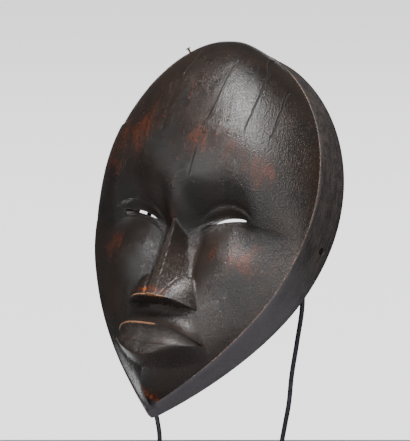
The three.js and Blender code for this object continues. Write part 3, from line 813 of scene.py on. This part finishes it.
def rim_ring(ring, share_in):
    """Places of one ring of the flat rim, at a share of the way from its outer to its inner edge."""
    side, z, across, along = ring
    outer_x = end_bend(z)[0] + side * half_width(z) + BAND_FLARE * across
    outer_z = z + BAND_FLARE * along
    inner_z = hollow_row(z)
    inner_x = end_bend(inner_z)[0] + side * hollow_half_width(inner_z)
    x = outer_x * (1 - share_in) + inner_x * share_in
    return x, 0 * x, outer_z * (1 - share_in) + inner_z * share_in


def slit_cutters():
    """Lens-shaped cutters for the eyes and round ones for the rim holes."""
    bm = bmesh.new()
    outer_end = EYE.inner + EYE.span
    for side in (-1, 1):
        edges = []
        for height in (EYE.cut_from, EYE.cut_to):
            inner_end = EYE.inner + (height - EYE.surface_at) * EYE.splay
            q = np.linspace(0, 1, 41)
            x = inner_end + (outer_end - inner_end) * q
            lens = np.sqrt(np.maximum(0, 1 - (2 * q - 1) ** 2))
            half = EYE.slit_height / 2 * (EYE.slit_end + (1 - EYE.slit_end) * lens)
            middle = slit_line(x) + (EYE.surface_at - height) * EYE.cut_slope
            places = [*zip(x, middle + half), *zip(x[::-1], (middle - half)[::-1])]
            ring = [bm.verts.new((side * a, -height, b)) for a, b in places]
            edges += [bm.edges.new(pair) for pair in zip(ring, ring[1:] + ring[:1])]
            bm.faces.new(ring)
        bmesh.ops.bridge_loops(bm, edges=edges)
    radius = RIM_HOLE.diameter / 2
    turn = Matrix.Rotation(math.pi / 2, 4, "Y")
    for side in (-1, 1):
        x = side * (float(half_width(RIM_HOLE.along)) - RIM_HOLE.inward)
        bmesh.ops.create_cone(
            bm, cap_ends=True, segments=40, radius1=radius, radius2=radius, depth=RIM_HOLE.depth,
            matrix=Matrix.Translation((x, -RIM_HOLE.setback, RIM_HOLE.along)) @ turn,
        )
    bmesh.ops.recalc_face_normals(bm, faces=bm.faces)
    return bm


# Rubbed places on the face, as across, along, spread across, spread along and strength
WORN_SPOTS = (
    (-34, 158, 15, 18, 0.62), (-50, 142, 12, 20, 0.5), (14, 154, 20, 14, 0.62), (36, 150, 14, 10, 0.4),
    (52, 142, 15, 12, 0.7), (-49, 93, 12, 11, 0.65), (49, 91, 15, 12, 0.72), (30, 96, 12, 12, 0.3),
    (-5, 62, 15, 3.0, 0.85), (-2, 106, 3, 12, 0.6), (-2, 23, 15, 3, 0.5), (-2, 4, 5, 4, 0.8),
    (0, 175, 65, 50, 0.2), (30, 60, 40, 40, 0.12),
)
# Drying cracks, as points across and along
CRACKS = (
    ((22, 227), (34, 209), (39, 192), (41, 176), (41, 165), (42, 159)),
    ((16, 213), (18, 192), (18, 178), (17, 168), (17, 160)),
    ((46, 202), (51, 187), (54, 172), (55, 161)),
    ((14, 148), (13, 138), (12, 130)),
    ((-15, 226), (-12, 210), (-14, 197)),
)


def nearest_of(rows):
    """For each point, the row with the smallest distance, which each row has last."""
    rows = np.array(rows)
    nearest = np.argmin(rows[:, -1], axis=0)
    return np.take_along_axis(rows, nearest[None, None], 0)[0]


def crack_offset(x, z, points):
    """Signed offset from one crack, how far along it, beyond 0 and 1 outside its ends, and the distance."""
    count = len(points) - 1
    rows = []
    for i, ((ax, az), (bx, bz)) in enumerate(zip(points, points[1:])):
        length = math.hypot(bx - ax, bz - az)
        free = ((x - ax) * (bx - ax) + (z - az) * (bz - az)) / length ** 2
        t = np.clip(free, 0.0, 1.0)
        distance = np.hypot(x - ax - t * (bx - ax), z - az - t * (bz - az))
        across = ((x - ax) * (bz - az) - (z - az) * (bx - ax)) / length
        low = 0.0 if i else -9.0
        high = 1.0 if i < count - 1 else 9.0
        rows.append((across, (i + np.clip(free, low, high)) / count, distance))
    return nearest_of(rows)


def worn_places(x, z):
    """How far the patina is rubbed, with uneven edges along the grain."""
    worn = np.zeros_like(x)
    for a, b, c, d, power in WORN_SPOTS:
        worn = np.maximum(worn, power * bell((x - a) / c) * bell((z - b) / d))
    return np.clip(worn * (1 + 0.5 * lattice_noise(x / 6, z / 13, 41)), 0, 1.2)


def crust_places(x, z):
    """How thick the crust is: most on the right of the face and around the mouth."""
    uneven = x + 6 * lattice_noise(x / 9, z / 9, 43)
    right = 0.15 + 0.85 * smooth_step(25, 62, uneven) * smooth_step(20, 60, z)
    return np.maximum(right, 0.9 * bell((z - 38) / 17) * smooth_step(50, 30, np.abs(x)))


def crack_lines(x, z):
    """Signed offset from the nearest crack, and how open it is there."""
    lines = []
    for points in CRACKS:
        wavy = x + 0.25 * lattice_noise(z / 6, 0 * z + points[0][0], 47)
        signed, along, distance = crack_offset(wavy, z, points)
        end = smooth_step(-0.03, 0.06, along) * smooth_step(1.03, 0.72, along)
        lines.append((signed, end * smooth_step(4, 2.5, distance), distance))
    return nearest_of(lines)[:2]


def matt_places(across, z):
    """How dull the wood is on the upper lip, under the nose and in the eye sockets."""
    top, line, _ = lip_lines(np.minimum(across, MOUTH.half))
    within = smooth_step(1.05, 0.9, across / MOUTH.half)
    lip = smooth_step(0.5, -0.5, z - top) * smooth_step(-1, 1.5, z - line) * within
    under_nose = 0.7 * smooth_step(26, 22, across) * smooth_step(42, 46, z) * (z < 59)
    socket = 0.8 * bell((z - lid_line(across) + 3.5) / 3) * smooth_step(14, 20, across) * (across < 46)
    return np.maximum(np.maximum(lip, under_nose), socket)


def chipped_edges(x, z):
    """Bare wood on the left part of the upper lip's edge and of the nose's lower edge."""
    across = np.abs(x)
    top = lip_lines(np.minimum(across, MOUTH.half))[0]
    lip = 0.8 * (bell((z - top) / 0.9) * smooth_step(12, 4, x) * (across < 26))
    tip = 0.7 * (bell((z - NOSE.under_at - 1.8) / 0.8) * smooth_step(16, 6, x) * (across < 22))
    return np.maximum(lip, tip)


def paint_masks(mesh):
    """Writes where the wood is worn, crusted, cracked, matt or bare, and where the band's lower part gets
    painted bounce light, from places in millimetres.
    """
    co = np.empty(len(mesh.vertices) * 3)
    mesh.vertices.foreach_get("co", co)
    x, back, z = co.reshape(-1, 3).T
    height = -back
    face = face_height(x, z)
    from_edge = half_width(z) - np.abs(x - end_bend(z)[0])
    on_front = smooth_step(-2.5, -0.8, height - face) * (from_edge > -0.2)
    in_hollow = (height < face - 3) & (from_edge > 4)
    band = np.clip(1 - on_front - in_hollow, 0, 1)
    side, reach = crack_lines(x, z)
    arris = smooth_step(0.8, 0.1, np.abs(height - arris_height(z))) * (from_edge < 1) * smooth_step(0, 30, x)
    values = {
        "matt": matt_places(np.abs(x), z) * on_front,
        # Painted bounce light: the band lighter towards its lower end
        "pale": band * smooth_step(112, 62, z + 5 * lattice_noise(z / 7, back / 4, 53)),
        "worn": worn_places(x, z) * on_front,
        "crust": crust_places(x, z) * on_front,
        "band": band,
        "inside": in_hollow.astype(float),
        "crack_side": side,
        "crack_reach": reach * on_front,
        "bare": np.maximum(0.5 * arris, chipped_edges(x, z) * on_front),
    }
    for name, value in values.items():
        layer = mesh.attributes.new(name, "FLOAT", "POINT")
        layer.data.foreach_set("value", value.astype(np.float32))


class CarveMask(bpy.types.Operator):
    """Carve the mask with its band, rim, hollow, eyes and rim holes"""
    bl_idname = "mask_stand.carve_mask"
    bl_label = "Carve Mask"

    def execute(self, context):
        mask = new_object("carved_mask", mask_mesh(context.scene.mask_carving))
        cutter = new_object("mask_cutter", slit_cutters())
        cut = mask.modifiers.new("openings", "BOOLEAN")
        cut.object = cutter
        cut.operation = "DIFFERENCE"
        cut.solver = "EXACT"
        settle(mask, 38.0)
        bpy.data.objects.remove(cutter)
        paint_masks(mask.data)
        mask.data.transform(mask_matrix())
        finish_piece(mask, "mask", wood_material(context.scene.mask_finish))
        return {"FINISHED"}


class DriveTack(bpy.types.Operator):
    """Drive the small iron tack into the upper left rim"""
    bl_idname = "mask_stand.drive_tack"
    bl_label = "Drive Tack"

    def execute(self, context):
        sizes = context.scene.stand_sizes
        along = MASK_LENGTH - TACK.below_crown
        across = float(across_at(TACK.share, along))
        x = np.array([across, across + 1.0, across])
        z = np.array([along, along, along + 1.0])
        heights = face_height(x, z)
        out = Vector((heights[0] - heights[1], -1.0, heights[0] - heights[2])).normalized()
        base = Vector((across, -heights[0], along)) - out * TACK.sunk
        shank, head, top = sizes.tack_shank, sizes.tack_head, sizes.tack_height
        profile = (
            (0.0, 0.0), (shank * 0.42, 0.0), (shank / 2, 0.0014), (shank / 2, top - 0.0002), (head / 2, top),
            (head / 2, top + 0.0003), (head * 0.36, top + 0.0006), (0.0, top + 0.00075),
        )
        bm = bmesh.new()
        verts = [bm.verts.new((r / MM, 0.0, h / MM)) for r, h in profile]
        edges = [bm.edges.new(pair) for pair in zip(verts, verts[1:])]
        bmesh.ops.spin(
            bm, geom=verts + edges, cent=(0, 0, 0), axis=(0, 0, 1), angle=math.tau, steps=24, use_merge=True,
        )
        close_skin(bm, 0.001)
        turn = out.to_track_quat("Z", "Y").to_matrix().to_4x4()
        bmesh.ops.transform(bm, matrix=mask_matrix() @ Matrix.Translation(base) @ turn, verts=bm.verts)
        tack = new_object("iron_tack", bm)
        settle(tack, 40.0)
        finish_piece(tack, "rim_tack", iron_material(context.scene.mask_finish))
        return {"FINISHED"}


def hollow_ceiling(x, setback):
    """Height above the mask's centre where the rod's upright plane meets the ceiling of the hollow."""
    low, high = 150.0, HOLLOW_TO
    for _ in range(40):
        z = (low + high) / 2
        place = mask_matrix() @ Vector((x, -float(hollow_height(x, np.array(z))), z))
        if place.y < setback * MM:
            low = z
        else:
            high = z
    return place.z / MM


def rod_points():
    """Places that the rod passes through, as across and height, from the left leg over the hoop."""
    clear = ROD.radius + ROD.clearance
    halves = []
    for side, legs in ((-1, ROD.left_leg), (1, ROD.right_leg)):
        half = []
        for x in ROD.bearings:
            z = hollow_ceiling(side * x, ROD.setback)
            across = hollow_ceiling(side * x + 1, ROD.setback) - z
            back = hollow_ceiling(side * x, ROD.setback + 1) - z
            half.append((side * x, z - clear * math.sqrt(1 + across ** 2 + back ** 2)))
        half += [(side * x, MASK_CENTRE_HEIGHT + z) for x, z in (*ROD.hoop, *legs)]
        half += [(ROD.legs_middle + side * ROD.leg_spacing / 2, z) for z in ROD.leg_heights]
        halves.append(half)
    return np.array([*halves[0][:0:-1], *halves[1]])


def smooth_route(points, steps):
    """A centripetal spline through all the points, with so many steps between two of them."""
    p = np.vstack([2 * points[0] - points[1], points, 2 * points[-1] - points[-2]])
    spans = (((0, 1), (1, 2), (2, 3)), ((0, 2), (1, 3)), ((1, 2),))
    route = []
    for i in range(1, len(p) - 2):
        knots = np.cumsum([0, *np.sqrt(np.linalg.norm(np.diff(p[i - 1:i + 3], axis=0), axis=1))])
        for t in np.linspace(knots[1], knots[2], steps, endpoint=False):
            level = p[i - 1:i + 3]
            for pairs in spans:
                level = [
                    ((knots[end] - t) * a + (t - knots[start]) * b) / (knots[end] - knots[start])
                    for (start, end), a, b in zip(pairs, level, level[1:])
                ]
            route.append(level[0])
    return np.array([*route, points[-1]])


class BendRod(bpy.types.Operator):
    """Bend the rod of the stand into its hoop and legs"""
    bl_idname = "mask_stand.bend_rod"
    bl_label = "Bend Rod"

    def execute(self, context):
        route = smooth_route(rod_points(), ROD.steps)
        last = len(route) - 1
        radius = context.scene.stand_sizes.rod / 2
        bm = bmesh.new()
        verts = bmesh.ops.create_grid(bm, x_segments=ROD.sides, y_segments=last, size=1.0)["verts"]
        u, v, _ = grid_places(verts)
        run = np.gradient(route, axis=0)
        run = run / np.linalg.norm(run, axis=1)[:, None]
        rows = np.hstack([route, run]).T
        x, z, run_x, run_z = (np.interp(v * last, np.arange(last + 1), row) for row in rows)
        out = radius * np.cos(u * math.pi)
        back = ROD.setback * MM + radius * np.sin(u * math.pi)
        for vert, *place in zip(verts, x * MM - out * run_z, back, z * MM + out * run_x):
            vert.co = place
        close_skin(bm, 0.000002)
        rod = new_object("bent_rod", bm)
        settle(rod, 60.0)
        finish_piece(rod, "stand_wire", steel_material(context.scene.mask_finish))
        return {"FINISHED"}


class MakeFoot(bpy.types.Operator):
    """Finish the flat plate that the rod's legs stand in"""
    bl_idname = "mask_stand.make_foot"
    bl_label = "Make Foot"

    def execute(self, context):
        node = bpy.data.objects["stand_foot"]
        node.data.materials.clear()
        node.data.materials.append(steel_material(context.scene.mask_finish))
        return {"FINISHED"}


def camera_axes(look):
    """Directions to the camera, to its right and up, from its azimuth and elevation."""
    a, e = look.azimuth, look.elevation
    back = Vector((math.sin(a) * math.cos(e), -math.cos(a) * math.cos(e), math.sin(e)))
    right = Vector((math.cos(a), math.sin(a), 0.0))
    return back, right, back.cross(right)


def soft_light(name, target, direction, distance, size, power):
    """A flat soft light that looks at the mask."""
    data = bpy.data.lights.new(name, "AREA")
    data.shape = "RECTANGLE"
    data.size, data.size_y = size
    data.energy = power
    lamp = bpy.data.objects.new(name, data)
    lamp.location = target + direction.normalized() * distance
    lamp.rotation_euler = direction.to_track_quat("Z", "Y").to_euler()
    bpy.context.scene.collection.objects.link(lamp)


def sweep_mesh(away, right, profile):
    """A strip that follows a profile of distances behind the mask, heights and half widths."""
    bm = bmesh.new()
    fars, _, halves = zip(*profile)
    left = [away * far + Vector((0.0, 0.0, high)) - right * half for far, high, half in profile]
    verts = [bm.verts.new(place) for place in left]
    edges = [bm.edges.new(pair) for pair in zip(verts, verts[1:])]
    for vert in extrude_edges(bm, edges)[1]:
        vert.co += right * 2 * float(np.interp(vert.co.dot(away), fars, halves))
    return bm


def backdrop_material(look):
    """An evenly lit backdrop that dims a little with height."""
    f = Finish("lit_backdrop")
    where = f.add("TexCoord", output="Object")
    split = f.add("SeparateXYZ", None, {"Vector": where}, output="Z")
    glow = f.mix(f.between(split, 0.0, STAGE.glow_height), look.backdrop_low, look.backdrop_high)
    f.surface(Base_Color=(0.0, 0.0, 0.0, 1.0), Roughness=1.0, Specular_IOR_Level=0.0)
    f.surface(Emission_Color=glow, Emission_Strength=look.backdrop_glow)
    return f.material


class SetStage(bpy.types.Operator):
    """Set up the floor, the backdrop, the lights and the camera"""
    bl_idname = "mask_stand.set_stage"
    bl_label = "Set Stage"

    def execute(self, context):
        look = context.scene.stage_look
        target = Vector((0.0, 0.0, MASK_CENTRE_HEIGHT * MM))
        back, right, up = camera_axes(look)

        away = Vector((-back.x, -back.y, 0.0)).normalized()
        reach = STAGE.floor_reach
        flat = ((-reach, 0.0, reach), (look.sweep_start, 0.0, reach))
        floor = new_object("floor", sweep_mesh(away, right, flat))
        plain = Finish("plain_floor")
        plain.surface(Base_Color=look.floor, Roughness=0.9)
        floor.data.materials.append(plain.material)
        radius = look.sweep_radius
        curve = []
        for i in range(STAGE.sweep_steps + 1):
            turn = i / STAGE.sweep_steps * STAGE.sweep_turn
            half = look.sweep_width / 2 * (1 + STAGE.sweep_spread * math.sin(turn) * radius)
            curve.append((look.sweep_start + radius * math.sin(turn), radius * (1 - math.cos(turn)), half))
        backdrop = new_object("backdrop", sweep_mesh(away, right, curve))
        backdrop.data.materials.append(backdrop_material(look))

        data = bpy.data.cameras.new("camera")
        data.lens = look.lens
        camera = bpy.data.objects.new("camera", data)
        aim = target - right * STAGE.aim_left + up * STAGE.aim_up
        camera.location = aim + back * look.distance
        camera.rotation_euler = back.to_track_quat("Z", "Y").to_euler()
        context.scene.collection.objects.link(camera)
        context.scene.camera = camera

        for name, ((a, b, c), distance, size) in LIGHTS.items():
            soft_light(name, target, right * a + up * b + back * c, distance, size, getattr(look, name))
        world = bpy.data.worlds.new("room")
        world.use_nodes = True
        glow = world.node_tree.nodes["Background"].inputs
        glow["Color"].default_value = (1.0, 1.0, 1.0, 1.0)
        glow["Strength"].default_value = look.room
        context.scene.world = world
        return {"FINISHED"}


OPERATORS = (CarveMask, DriveTack, BendRod, MakeFoot, SetStage)
GROUPS = {
    "mask_carving": MaskCarving, "mask_finish": MaskFinish,
    "stand_sizes": StandSizes, "stage_look": StageLook,
}


class MaskPanel(bpy.types.Panel):
    """Lists the steps that build the mask and its stand"""
    bl_idname = "VIEW3D_PT_mask_stand"
    bl_label = "Mask Stand"
    bl_space_type = "VIEW_3D"
    bl_region_type = "UI"
    bl_category = "Mask"

    def draw(self, context):
        for operator in OPERATORS:
            self.layout.operator(operator.bl_idname)
        for name, group in GROUPS.items():
            box = self.layout.box()
            box.label(text=name.replace("_", " "))
            for key in group.__annotations__:
                box.prop(getattr(context.scene, name), key)


def register():
    for group in (*GROUPS.values(), *OPERATORS, MaskPanel):
        bpy.utils.register_class(group)
    for name, group in GROUPS.items():
        setattr(bpy.types.Scene, name, PointerProperty(type=group))


def unregister():
    for name in GROUPS:
        delattr(bpy.types.Scene, name)
    for group in reversed((*GROUPS.values(), *OPERATORS, MaskPanel)):
        bpy.utils.unregister_class(group)


def main():
    register()
    bpy.ops.mask_stand.carve_mask()
    bpy.ops.mask_stand.drive_tack()
    bpy.ops.mask_stand.bend_rod()
    bpy.ops.mask_stand.make_foot()
    bpy.ops.mask_stand.set_stage()


if __name__ == "__main__":
    main()
